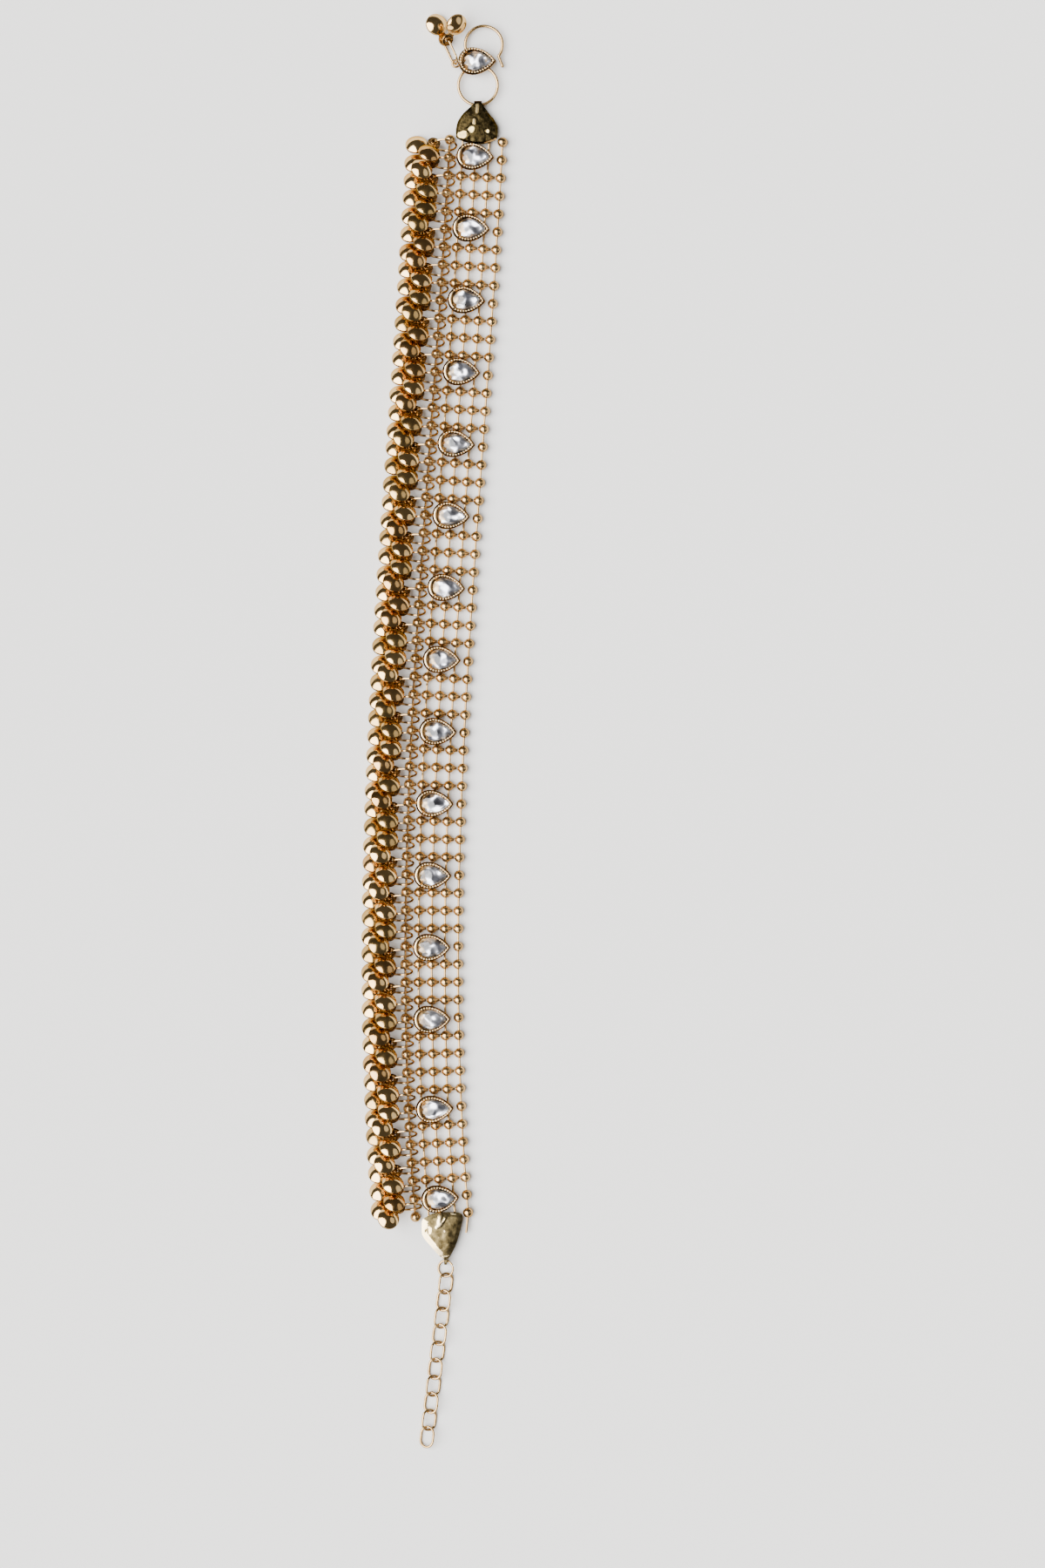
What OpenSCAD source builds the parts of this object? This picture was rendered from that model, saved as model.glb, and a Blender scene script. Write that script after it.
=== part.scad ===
// Anklet lying open: a ball mesh band with pear stones, a fringe of small bells along its
// left edge, a hook at the far end and an extension chain at the near end.
// +Y runs along the band towards the hook, +X to the right and +Z up from the surface.

/* [Band] */
// Distance between rows of balls
row_pitch = 3.7; // [3.68:0.01:3.72]
// Distance between strands
strand_pitch = 2.73; // [2.7:0.01:2.8]
// Ball diameter
ball_d = 2.1; // [2.0:0.05:2.1]
// Thickness of the link wires in the band
link_wire_d = 0.45; // [0.4:0.05:0.5]
// Place of the first row along the length
first_row_y = 122.05; // [121.9:0.05:122.2]
// Place of the first row's middle across the width
first_row_x = 8.61; // [8.5:0.01:8.7]
// How the band wanders sideways: straight, bowed and double bowed parts
wander = [-11.2, -17.8, 21.9]; // [-25:0.1:25]

/* [Settings and stones] */
// Length of a setting, from its round end to its point
setting_l = 7.8; // [7.7:0.1:7.9]
// Width of a setting
setting_w = 5.7; // [5.6:0.1:5.7]
// Height of a setting's underside above the surface
setting_z = 1.45; // [1.45:0.05:1.6]
// Height of a setting
setting_h = 1.8; // [1.7:0.1:2.0]
// Length of a stone
stone_l = 6.0; // [5.8:0.1:6.0]
// Width of a stone
stone_w = 4.2; // [4.0:0.1:4.2]
// How far the first and last settings sit off their rows, towards the end plates
setting_drift = 0.3; // [0:0.05:0.3]

/* [Bells] */
// Diameter of a bell's rim
bell_d = 4.5; // [4.3:0.1:4.5]
// Height of one half bell above its rim
bell_dome_h = 1.15; // [1.0:0.05:1.2]
// Distance from the middle of the eye to the middle of the dome
bell_reach = 3.6; // [3.5:0.05:3.65]
// Diameter of the eye plate
eye_d = 2.6; // [2.5:0.05:2.65]
// Diameter of the hole in the eye
eye_hole_d = 1.1; // [1.1:0.05:1.2]
// Thickness of the bells' sheet metal
bell_wall = 0.2; // [0.15:0.05:0.2]

/* [Jump rings] */
// Middle diameter of the rings that carry the bells
ring_d = 4.75; // [4.7:0.05:4.8]
// Thickness of the jump rings' wire
ring_wire_d = 0.45; // [0.4:0.05:0.45]
// How far the rings lean from upright
ring_lean = 20; // [18:1:22]
// How far a ring's middle lies to the left of the band's edge wire
ring_side = 0.9; // [0.85:0.01:0.93]

/* [Hook] */
// Thickness of the hook's wire
hook_wire_d = 0.6; // [0.5:0.05:0.6]
// Outer diameter of the closed ring at the plate
closed_ring_d = 8.7; // [8.6:0.1:8.8]
// Outer diameter of the open ring
open_ring_d = 8.3; // [8.2:0.1:8.4]

/* [Extension chain] */
// Number of links
link_count = 10; // [6:1:10]
// Outer length of a link
link_l = 4.7; // [4.7:0.05:4.8]
// Outer width of a link
link_w = 3.3; // [3.2:0.05:3.4]
// Thickness of a link's wire
chain_wire_d = 0.5; // [0.45:0.05:0.5]
// Distance from link to link
link_pitch = 3.55; // [3.52:0.01:3.57]
// How far each link is rolled about the chain's length
link_roll = 24; // [22:1:28]

/* [Hidden] */
$fn = 48;
clear = 0.12;
rows = 61;
last_row = rows - 1;
strands = 5;
middle = 3;
ball_r = ball_d / 2;
link_wire_r = link_wire_d / 2;
ring_wire_r = ring_wire_d / 2;
ring_r = ring_d / 2;
wire_z = ball_r;
bell_r = bell_d / 2;
bell_slit = 0.125;
collar_wall = 0.25;
collar_h = 0.76;
neck_w = 1.4;
ring_middle = [-ring_side, 0.55 * ring_r * sin(ring_lean),
    ring_r * cos(ring_lean) + ring_wire_r + 0.05];
gaps = last_row;
half_of_gaps = gaps / 2;
chain_z = (link_w - chain_wire_d) / 2 * sin(link_roll) + chain_wire_d / 2;

// How the bells lie, each row [place on the ring, turn, lift, roll] in degrees. A place is
// measured up from the ring's left end, a turn from straight left, a lift from level.
lower_poses = [
    [-10, 0, -6, -34],
    [-8, 3, -3, -31]];
upper_poses = [
    [21, 72, 40, 0],
    [24, 43, 28, -4]];
pose_order = [0, 1, 0, 0, 1];

// Pear outline and the levels of a setting and its stone
pear_taper = 0.6;
pear_widest = 0.841;
setting_sides = 24;
stone_sides = 12;
stone_shift = 0.2;
seat_gap = 0.15;
flange_z = 0.65;
floor_h = 0.35;
girdle_z = setting_h - 0.6;
// How much narrower a setting is at its foot: in the band, where it sits between balls, and
// in the hook
band_foot = 1.5;
hook_foot = 0.2;

// End plates: underside of the sheet above the wires, height of its crown, sheet thickness
lid_z = 2 * ball_r - 0.65;
lid_h = 0.95;
lid_wall = 0.35;
wire_in_plate = 0.35;
tail_l = 4.2;
top_plate_spot = [9.01, 129.45];
bottom_plate_spot = [2.31, -109.45];
// Outlines seen from above, from the loop's left side round to its right side
top_plate_outline = [
    [-0.9, 0.2], [-1.6, -0.5], [-3.1, -1.8], [-4.2, -3.4], [-4.6, -5.2], [-4.5, -6.9],
    [-2.8, -7.7], [-0.8, -8.1], [1.6, -8.1], [3.8, -7.3], [4.1, -6.2], [4.1, -4.5],
    [3.3, -3.0], [1.8, -1.2], [0.9, 0.2]];
bottom_plate_outline = [
    [-0.7, 0.4], [-4.9, 5.2], [-4.9, 8.6], [-3.0, 9.7], [-1.5, 10.1], [2.6, 10.1],
    [3.5, 9.7], [3.6, 8.7], [3.2, 7.0], [2.3, 3.6], [0.7, 0.4]];

// Hook
hook_z = wire_z;
hook_wire_r = hook_wire_d / 2;
closed_ring_r = (closed_ring_d - hook_wire_d) / 2;
open_ring_r = (open_ring_d - hook_wire_d) / 2;
closed_ring_spot = top_plate_spot + [0, closed_ring_r];
closed_ring_from = 110;
closed_ring_turn = 320;
open_ring_spot = [10.21, 141.95];
open_ring_from = -38;
open_ring_turn = 253;
hook_tip = [14.16, 137.25];
hook_setting_spot = [8.81, 138.4];
hook_setting_z = hook_z + hook_wire_r - 0.1;
side_loop_spot = [4.41, 137.95, hook_setting_z + 0.25];
side_loop_r = 0.72;
bell_ring_l = 6.0;
bell_ring_w = 3.4;
bell_ring_shift = [0.14, -0.04, 0.3];
bell_ring_aim = 25;
bell_ring_roll = -69;
// Poses of the hook's two bells: [place round the ring's end, turn, lift, roll]
clasp_poses = [
    [13, 118, -1, 22],
    [-47, 58, 14, 43]];

// Extension chain
chain_ring_d = 3.76;
chain_ring_r = (chain_ring_d - ring_wire_d) / 2;
chain_ring_roll = -23;
chain_ring_z = 0.9;
chain_slack = 0.2;
chain_aim = -6.9;

stone_rows = [for (k = [0 : 14]) k < 13 ? 1 + 4 * k : 54 + 5 * (k - 13)];
two_digits = function(n) n < 10 ? str("0", n) : str(n);
strand_names = [for (c = [1 : strands]) str("ball_strand_", c)];
setting_names = [for (k = [1 : len(stone_rows)]) str("setting_", two_digits(k))];
stone_names = [for (k = [1 : len(stone_rows)]) str("stone_", two_digits(k))];

// Line of the band: s runs from 0 at the first row to 1 at the last.
function band_x(s) = first_row_x + wander[0] * s + wander[1] * s * s + wander[2] * s * s * s;
function band_slope(s) = wander[0] + 2 * wander[1] * s + 3 * wander[2] * s * s;
function band_turn(row) = atan(-band_slope(row / last_row) / (last_row * row_pitch));
function band_spot(row) = [band_x(row / last_row), first_row_y - row * row_pitch];
function strand_spot(c, row) =
    let (turn = -band_turn(row), side = (c - middle) * strand_pitch)
    band_spot(row) + side * [cos(turn), sin(turn)];
function is_edge(c) = c == 1 || c == strands;
function is_stone_row(row) = len(search(row, stone_rows)) > 0;
function has_ball(c, row) = is_edge(c) || !(is_stone_row(row) || row == 0 || row == last_row);
function ball_rows(c) = [for (row = [0 : last_row]) if (has_ball(c, row)) row];

gold = [0.80, 0.58, 0.30];
bright_gold = [0.95, 0.76, 0.42];
rose_gold = [0.83, 0.60, 0.42];
dark_brass = [0.48, 0.43, 0.26];
clear_stone = [0.86, 0.88, 0.93];

// A straight round bar between two points.
module bar(from, to, r) {
    span = to - from;
    flat = norm([span[0], span[1]]);
    translate(from)
        rotate([0, atan2(flat, span[2]), atan2(span[1], span[0])])
            cylinder(r = r, h = norm(span));
}

// A closed round wire ring about Z.
module wire_ring(middle_r, wire_r) {
    rotate_extrude()
        translate([middle_r, 0]) circle(wire_r);
}

// A wire ring with two straight sides along Y.
module oval_ring(length, width, wire_d) {
    bend_r = (width - wire_d) / 2;
    straight = length - width;
    for (way = [0, 180])
        rotate(way) {
            translate([0, straight / 2, 0])
                rotate_extrude(angle = 180)
                    translate([bend_r, 0]) circle(d = wire_d);
            translate([bend_r, -straight / 2, 0])
                rotate([-90, 0, 0]) cylinder(d = wire_d, h = straight);
        }
}

// One lengthwise strand: balls soldered on their wire, with short links towards the next strand.
module ball_strand(c) {
    on_rows = ball_rows(c);
    bite = 0.6 * ball_r;
    link_end = strand_pitch - ball_r - clear;
    spot = function(row) concat(strand_spot(c, row), wire_z);
    color(gold) union() {
        for (row = on_rows)
            translate(spot(row)) rotate(45) sphere(r = ball_r);
        for (k = [1 : len(on_rows) - 1]) {
            above = spot(on_rows[k - 1]);
            below = spot(on_rows[k]);
            inward = bite * (below - above) / norm(below - above);
            bar(above + inward, below - inward, link_wire_r);
        }
        if (c < strands)
            for (row = on_rows)
                if (is_stone_row(row) || has_ball(c + 1, row))
                    translate(spot(row)) rotate(-band_turn(row))
                        translate([bite, 0, 0])
                            rotate([0, 90, 0])
                                cylinder(r = 0.27, h = cross_link(c, row, link_end) - bite);
        if (!is_edge(c)) {
            bar(spot(on_rows[0]) + [0, bite, 0], spot(-wire_in_plate), link_wire_r);
            bar(spot(on_rows[len(on_rows) - 1]) - [0, bite, 0],
                spot(last_row + wire_in_plate), link_wire_r);
        }
        if (c == strands) {
            tail = [-0.35 * ball_r, -tail_l, 0];
            bar(spot(last_row) + 0.2 * tail, spot(last_row) + tail, link_wire_r);
        }
    }
}

// Length from a ball's middle to the end of its cross link, shorter beside a setting.
function cross_link(c, row, full) =
    is_stone_row(row) ? 2 * strand_pitch - setting_l / 2 - clear : full;

// Outline of a pear, point towards +X, as [x, y] for a length and width of 1.
function pear_point(turn) =
    [cos(turn) / 2, sin(turn) * pow(abs(sin(turn / 2)), pear_taper) / (2 * pear_widest)];
function pear_ring(sides, z, length, width, shift) =
    [for (k = [0 : sides - 1])
        let (p = pear_point(360 * (k + 0.5) / sides))
        [p[0] * length + shift, p[1] * width, z]];

// Solid through a stack of pear outlines, each [z, length, width, shift towards the point].
module pear_loft(sides, levels) {
    points = [for (level = levels)
        each pear_ring(sides, level[0], level[1], level[2], level[3])];
    top = len(levels) - 1;
    walls = [for (a = [0 : top - 1], k = [0 : sides - 1])
        let (next = (k + 1) % sides)
        each [[a * sides + next, a * sides + k, (a + 1) * sides + k],
              [a * sides + next, (a + 1) * sides + k, (a + 1) * sides + next]]];
    polyhedron(points, concat(
        [[for (k = [0 : sides - 1]) k]],
        walls,
        [[for (k = [sides - 1 : -1 : 0]) top * sides + k]]));
}

// Pear collet with a tapered foot, a flange, a plain wall, a raised rim and a sloped bezel
// round the seat.
module pear_setting(foot) {
    seat_l = stone_l + 2 * seat_gap;
    seat_w = stone_w + 2 * seat_gap;
    pear_loft(setting_sides, [
        // z, length, width, shift
        [0, setting_l - foot - 0.4, setting_w - foot, 0],
        [flange_z, setting_l, setting_w, 0],
        [flange_z + 0.1, setting_l, setting_w, 0],
        [flange_z + 0.15, setting_l - 0.5, setting_w - 0.4, 0],
        [setting_h - 0.15, setting_l - 0.6, setting_w - 0.5, 0],
        [setting_h, setting_l - 0.8, setting_w - 0.7, 0],
        [setting_h, setting_l - 1.1, setting_w - 0.95, 0],
        [setting_h - 0.45, seat_l, seat_w, stone_shift],
        [floor_h, seat_l, seat_w, stone_shift]]);
}

// Pear cut stone: flat back, girdle, two tiers of crown facets and a table.
module pear_stone() {
    pear_loft(stone_sides, [
        // z, length, width, shift
        [floor_h + clear, 0.6 * stone_l, 0.6 * stone_w, stone_shift],
        [girdle_z - 0.15, stone_l, stone_w, stone_shift],
        [girdle_z, stone_l, stone_w, stone_shift],
        [girdle_z + 0.4, 0.86 * stone_l, 0.86 * stone_w, stone_shift],
        [girdle_z + 0.7, 0.62 * stone_l, 0.62 * stone_w, stone_shift]]);
}

// Puts a piece at the place of the setting in a row.
module at_setting(row) {
    off_row = setting_drift * cos(180 * row / last_row);
    translate(concat(band_spot(row) + [0, off_row], setting_z))
        rotate(-band_turn(row)) children();
}

// One stamping of a bell: a dome of sheet metal above the slit.
module bell_dome() {
    round_r = (bell_r * bell_r + bell_dome_h * bell_dome_h) / (2 * bell_dome_h);
    round_z = bell_slit + bell_dome_h - round_r;
    intersection() {
        difference() {
            translate([0, 0, round_z]) sphere(r = round_r);
            translate([0, 0, round_z - bell_wall]) sphere(r = round_r);
        }
        translate([0, 0, bell_slit + bell_r]) cube([bell_d + 1, bell_d + 1, bell_d], center = true);
    }
}

// One small bell, its eye at the origin and its domes towards +X: two stampings back to back
// with an open slit between their rims, joined at the neck, and an eye with a raised collar.
module bell() {
    neck_start = eye_hole_d;
    neck_end = bell_reach - 0.8 * bell_r;
    eye_r = eye_d / 2;
    hole_r = eye_hole_d / 2;
    collar_r = hole_r + collar_wall;
    top = collar_h / 2;
    union() {
        translate([bell_reach, 0, 0])
            for (side = [0, 180])
                rotate([side, 0, 0]) bell_dome();
        rotate_extrude()
            polygon([[eye_r, bell_wall], [collar_r, bell_wall], [collar_r, top], [hole_r, top],
                [hole_r, -top], [collar_r, -top], [collar_r, -bell_wall], [eye_r, -bell_wall]]);
        translate([(neck_start + neck_end) / 2, 0, 0])
            cube([neck_end - neck_start, neck_w, 2 * (bell_slit + bell_wall)], center = true);
    }
}

// Wobble between -1 and 1 that differs from ring to ring.
function wobble(k, step) = sin(step * k);

// A place on a ring's wire, in degrees up from its left end.
function on_ring(place) = ring_middle
    + ring_r * [-cos(place), sin(place) * sin(ring_lean), sin(place) * cos(ring_lean)];

// Frame of the band's left edge wire half way between two rows.
module at_gap(k) {
    translate(concat(strand_spot(1, k + 0.5), 0)) rotate(-band_turn(k + 0.5)) children();
}

// Rings that carry the bells, one through each gap of the left strand.
module bell_rings() {
    color(rose_gold)
        for (k = [0 : gaps - 1])
            at_gap(k)
                translate(ring_middle)
                    rotate([90 - ring_lean, 0, 0]) wire_ring(ring_r, ring_wire_r);
}

// Half the length of a layer of bells, one to each ring, in the poses of a short table used in
// turn.
module bell_layer(poses, unrest, half) {
    color(bright_gold)
        for (k = [(half - 1) * half_of_gaps : half * half_of_gaps - 1]) {
            pose = poses[pose_order[k % len(pose_order)]];
            at_gap(k)
                translate(on_ring(pose[0]))
                    rotate([pose[3] + 0.6 * unrest * wobble(k, 203),
                            pose[2] + 0.4 * unrest * wobble(k, 131),
                            pose[1] + unrest * wobble(k, 77)])
                        rotate(180) bell();
        }
}
module bells_lower(half) { bell_layer(lower_poses, 1, half); }
module bells_upper(half) { bell_layer(upper_poses, 1.2, half); }

// Brass sheet end piece: a crowned lid over the ends of the band's wires, with a rolled loop.
module end_plate(outline, tip, tip_z, loop_l, bore_r, loop_z, dimple) {
    crown = [for (p = outline) [0.6 * p[0] + dimple[0], 0.6 * p[1] + dimple[1]]];
    inset = [for (p = outline) [0.9 * p[0] + 0.25 * dimple[0], 0.9 * p[1] + 0.25 * dimple[1]]];
    color(dark_brass) difference() {
        union() {
            difference() {
                hull() {
                    translate([0, 0, lid_z]) linear_extrude(0.25) polygon(outline);
                    translate([0, 0, lid_z]) linear_extrude(lid_h) polygon(crown);
                    translate([0, tip, tip_z]) cube([loop_l, 0.4, 0.5], center = true);
                }
                hull() {
                    translate([0, 0, lid_z - lid_wall]) linear_extrude(0.25) polygon(inset);
                    translate([0, 0, lid_z - lid_wall]) linear_extrude(lid_h) polygon(crown);
                }
            }
            translate([0, 0, loop_z]) rotate([0, 90, 0])
                cylinder(r = bore_r + lid_wall, h = loop_l, center = true);
        }
        translate([0, 0, loop_z]) rotate([0, 90, 0])
            cylinder(r = bore_r, h = 2 * loop_l, center = true);
    }
}

module top_plate() {
    translate(concat(top_plate_spot, 0))
        end_plate(top_plate_outline, -0.6, 1.75, 1.6, 0.52, hook_z, [0, -1.5]);
}

module bottom_plate() {
    translate(concat(bottom_plate_spot, 0))
        end_plate(bottom_plate_outline, 0.7, 1.35, 0.6, 0.52, chain_ring_z, [0.3, 2.4]);
}

// Part of a round wire ring in the hook's plane.
module hook_arc(spot, middle_r, from, turn) {
    translate(concat(spot, hook_z))
        rotate(from)
            rotate_extrude(angle = turn)
                translate([middle_r, 0]) circle(hook_wire_r);
}

// Hook: a closed ring, an open ring with a flared tip, a setting and a small side loop. The
// rings' hidden ends are soldered to the underside of the setting.
module clasp_hook() {
    tip_start = open_ring_spot + open_ring_r * [cos(open_ring_from), sin(open_ring_from)];
    color(rose_gold) union() {
        hook_arc(closed_ring_spot, closed_ring_r, closed_ring_from, closed_ring_turn);
        hook_arc(open_ring_spot, open_ring_r, open_ring_from, open_ring_turn);
        translate(concat(tip_start, hook_z)) sphere(r = hook_wire_r + 0.02);
        bar(concat(tip_start, hook_z), concat(hook_tip, hook_z), hook_wire_r - 0.03);
        translate(concat(hook_tip, hook_z)) sphere(r = hook_wire_r + 0.02);
        translate(side_loop_spot) wire_ring(side_loop_r, ring_wire_r);
        translate(concat(hook_setting_spot, hook_setting_z)) pear_setting(hook_foot);
    }
}

module clasp_stone() {
    color(clear_stone)
        translate(concat(hook_setting_spot, hook_setting_z)) pear_stone();
}

// Frame of the long ring beside the hook: origin at its middle, +Y towards its bells.
module at_bell_ring() {
    translate(side_loop_spot + bell_ring_shift)
        rotate(bell_ring_aim) rotate([0, bell_ring_roll, 0])
            translate([0, bell_ring_l / 2 - ring_wire_r, 0]) children();
}

module clasp_bell_ring() {
    color(rose_gold) at_bell_ring() oval_ring(bell_ring_l, bell_ring_w, ring_wire_d);
}

// The hook's two bells, hung on the far bend of the long ring.
module clasp_bells() {
    bend_r = (bell_ring_w - ring_wire_d) / 2;
    far = (bell_ring_l - bell_ring_w) / 2;
    color(bright_gold)
        for (pose = clasp_poses)
            at_bell_ring()
                translate([-bend_r * sin(pose[0]), far + bend_r * cos(pose[0]), 0])
                    rotate([0, -bell_ring_roll, 0]) rotate(-bell_ring_aim)
                        rotate([pose[3], -pose[2], pose[1]]) bell();
}

module chain_ring() {
    color(rose_gold)
        translate(concat(bottom_plate_spot, chain_ring_z))
            rotate([0, chain_ring_roll, 0])
                translate([0, -chain_ring_r, 0]) wire_ring(chain_ring_r, ring_wire_r);
}

// Curb links, each rolled a little to the side opposite to the one before it.
module extension_chain() {
    first_y = bottom_plate_spot[1] - 2 * chain_ring_r + ring_wire_r + chain_slack
        - (link_l - 2 * chain_wire_d) / 2;
    color(rose_gold)
        translate([bottom_plate_spot[0], first_y, chain_z])
            rotate(chain_aim)
                for (k = [0 : link_count - 1])
                    translate([0, -k * link_pitch, 0])
                        rotate([0, (k % 2 == 0 ? 1 : -1) * link_roll, 0])
                            oval_ring(link_l, link_w, chain_wire_d);
}

for (c = [1 : strands])
    ball_strand(c);
for (k = [0 : len(stone_rows) - 1]) {
    color(gold) at_setting(stone_rows[k]) pear_setting(band_foot);
    color(clear_stone) at_setting(stone_rows[k]) pear_stone();
}
top_plate();
bottom_plate();
clasp_hook();
clasp_stone();
clasp_bell_ring();
clasp_bells();
bell_rings();
for (half = [1, 2]) {
    bells_lower(half);
    bells_upper(half);
}
chain_ring();
extension_chain();
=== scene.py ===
import math
import random
from collections import namedtuple
from dataclasses import dataclass

import bpy
import numpy as np
from mathutils import Euler, Matrix


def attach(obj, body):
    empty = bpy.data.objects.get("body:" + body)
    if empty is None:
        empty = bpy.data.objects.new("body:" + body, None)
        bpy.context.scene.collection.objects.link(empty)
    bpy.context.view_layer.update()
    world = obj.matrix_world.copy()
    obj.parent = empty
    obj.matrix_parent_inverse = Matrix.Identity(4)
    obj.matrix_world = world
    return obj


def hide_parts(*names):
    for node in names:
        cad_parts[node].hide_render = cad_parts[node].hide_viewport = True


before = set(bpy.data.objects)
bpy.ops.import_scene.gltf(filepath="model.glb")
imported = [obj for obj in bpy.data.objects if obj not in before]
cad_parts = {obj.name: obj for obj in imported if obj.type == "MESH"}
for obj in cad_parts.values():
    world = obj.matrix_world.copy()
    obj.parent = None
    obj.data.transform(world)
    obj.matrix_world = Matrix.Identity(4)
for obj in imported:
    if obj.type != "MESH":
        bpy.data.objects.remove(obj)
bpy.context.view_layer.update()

# Units, and the seeds of what is scattered by chance
MM = 0.001
FULL_TURN = 2 * math.pi
SCATTER_SEED = 7
TONE_SEED = 11
TOP_DENTS_SEED = 5
BOTTOM_DENTS_SEED = 9

# Sizes are in millimetres and angles in degrees. Those of the band, the settings, the bells,
# the hook, the end plates and the chain are the ones in the part's source.

# Band. WANDER holds the straight, the bowed and the double bowed part of its line, and TAIL is
# the bare wire below the last strand's last ball.
BALL_R = 1.05
ROW_PITCH = 3.7
STRAND_PITCH = 2.73
LINK_WIRE_R = 0.225
ROWS = 61
LAST_ROW = ROWS - 1
STRANDS = 5
MIDDLE_STRAND = 3
FIRST_ROW_SPOT = (8.61, 122.05)
WANDER = (-11.2, -17.8, 21.9)
STONE_ROWS = [1 + 4 * k for k in range(13)] + [54, 59]
WIRE_IN_PLATE = 0.35
TAIL = (-0.35 * BALL_R, -4.2, 0)
CLEAR = 0.12

# Settings and stones, with heights counted from a setting's underside
SETTING_L = 7.8
SETTING_W = 5.7
SETTING_H = 1.8
SETTING_Z = 1.45
SETTING_DRIFT = 0.3
BAND_FOOT = 1.5
HOOK_FOOT = 0.2
FLANGE_Z = 0.65
SEAT_Z = 0.35
GIRDLE_Z = SETTING_H - 0.6
STONE_L = 6.0
STONE_W = 4.2
STONE_SHIFT = 0.2
STONE_SIDES = 12
PEAR_TAPER = 0.6
PEAR_WIDEST = 0.841

# Bells and their jump rings. A pose is (place on the ring, turn, lift, roll).
BELL_R = 2.25
BELL_DOME_H = 1.15
BELL_REACH = 3.6
BELL_SLIT = 0.125
BELL_WALL = 0.2
EYE_R = 1.3
EYE_HOLE_R = 0.55
COLLAR_WALL = 0.25
COLLAR_H = 0.76
NECK_W = 1.4
RING_R = 2.375
RING_WIRE_R = 0.225
RING_LEAN = 20
RING_SIDE = 0.9
LEAN_SIN = math.sin(math.radians(RING_LEAN))
LEAN_COS = math.cos(math.radians(RING_LEAN))
RING_MIDDLE = (-RING_SIDE, 0.55 * RING_R * LEAN_SIN, RING_R * LEAN_COS + RING_WIRE_R + 0.05)
LOWER_POSES = ((-10, 0, -6, -34), (-8, 3, -3, -31))
UPPER_POSES = ((21, 72, 40, 0), (24, 43, 28, -4))
POSE_ORDER = (0, 1, 0, 0, 1)

# How much a bell of the fringe wobbles in roll, lift and turn, and the step from ring to ring
ROLL_WOBBLE = (0.6, 203)
LIFT_WOBBLE = (0.4, 131)
TURN_WOBBLE = (1.0, 77)

# End plates, and their outlines from the loop's left side round to its right side
TOP_PLATE_SPOT = (9.01, 129.45)
BOTTOM_PLATE_SPOT = (2.31, -109.45)
LID_Z = 2 * BALL_R - 0.65
LID_H = 0.95
LID_WALL = 0.35
LOOP_BORE_R = 0.52
TOP_LOOP_L = 1.6
BOTTOM_LOOP_L = 0.6
TOP_OUTLINE = (
    (-0.9, 0.2), (-1.6, -0.5), (-3.1, -1.8), (-4.2, -3.4), (-4.6, -5.2), (-4.5, -6.9),
    (-2.8, -7.7), (-0.8, -8.1), (1.6, -8.1), (3.8, -7.3), (4.1, -6.2), (4.1, -4.5),
    (3.3, -3.0), (1.8, -1.2), (0.9, 0.2))
BOTTOM_OUTLINE = (
    (-0.7, 0.4), (-4.9, 5.2), (-4.9, 8.6), (-3.0, 9.7), (-1.5, 10.1), (2.6, 10.1),
    (3.5, 9.7), (3.6, 8.7), (3.2, 7.0), (2.3, 3.6), (0.7, 0.4))

# Hook, with the long ring beside it and its two bells
HOOK_Z = BALL_R
HOOK_WIRE_R = 0.3
CLOSED_RING_R = 8.7 / 2 - HOOK_WIRE_R
OPEN_RING_R = 8.3 / 2 - HOOK_WIRE_R
CLOSED_RING_SPOT = (TOP_PLATE_SPOT[0], TOP_PLATE_SPOT[1] + CLOSED_RING_R, HOOK_Z)
OPEN_RING_SPOT = (10.21, 141.95, HOOK_Z)
OPEN_RING_FROM = -38
OPEN_RING_TURN = 253
HOOK_TIP = (14.16, 137.25, HOOK_Z)
HOOK_SETTING_SPOT = (8.81, 138.4, HOOK_Z + HOOK_WIRE_R - 0.1)
SIDE_LOOP_SPOT = (4.41, 137.95, HOOK_SETTING_SPOT[2] + 0.25)
SIDE_LOOP_R = 0.72
BELL_RING_L = 6.0
BELL_RING_W = 3.4
BELL_RING_SHIFT = (0.14, -0.04, 0.3)
BELL_RING_AIM = 25
BELL_RING_ROLL = -69
CLASP_POSES = ((13, 118, -1, 22), (-47, 58, 14, 43))

# Extension chain and its ring
CHAIN_RING_R = 3.76 / 2 - RING_WIRE_R
CHAIN_RING_ROLL = -23
CHAIN_RING_Z = 0.9
CHAIN_SLACK = 0.2
CHAIN_AIM = -6.9
CHAIN_WIRE_D = 0.5
LINK_COUNT = 10
LINK_L = 4.7
LINK_W = 3.3
LINK_PITCH = 3.55
LINK_ROLL = 24

# Trim of the band. DIMPLE is a dimple's floor and rim, each (height as a share of BALL_R,
# radius), and a step of solder is (place along the cross link as a share of BALL_R, radius).
BALL_SIDES = 22
BALL_LEVELS = 12
BALL_SCATTER = 4
DIMPLE = ((0.84, 0.2), (0.95, 0.24))
WIRE_START = 0.8
RIGHT_SOLDER = ((0.6, 0.62), (0.9, 0.5), (1.05, 0.38))
LEFT_SOLDER = ((-0.6, 0.62), (-0.9, 0.5), (-0.99, 0.36))
CROSS_LINK_R = 0.34
SOLDER_SIDES = 10

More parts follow.
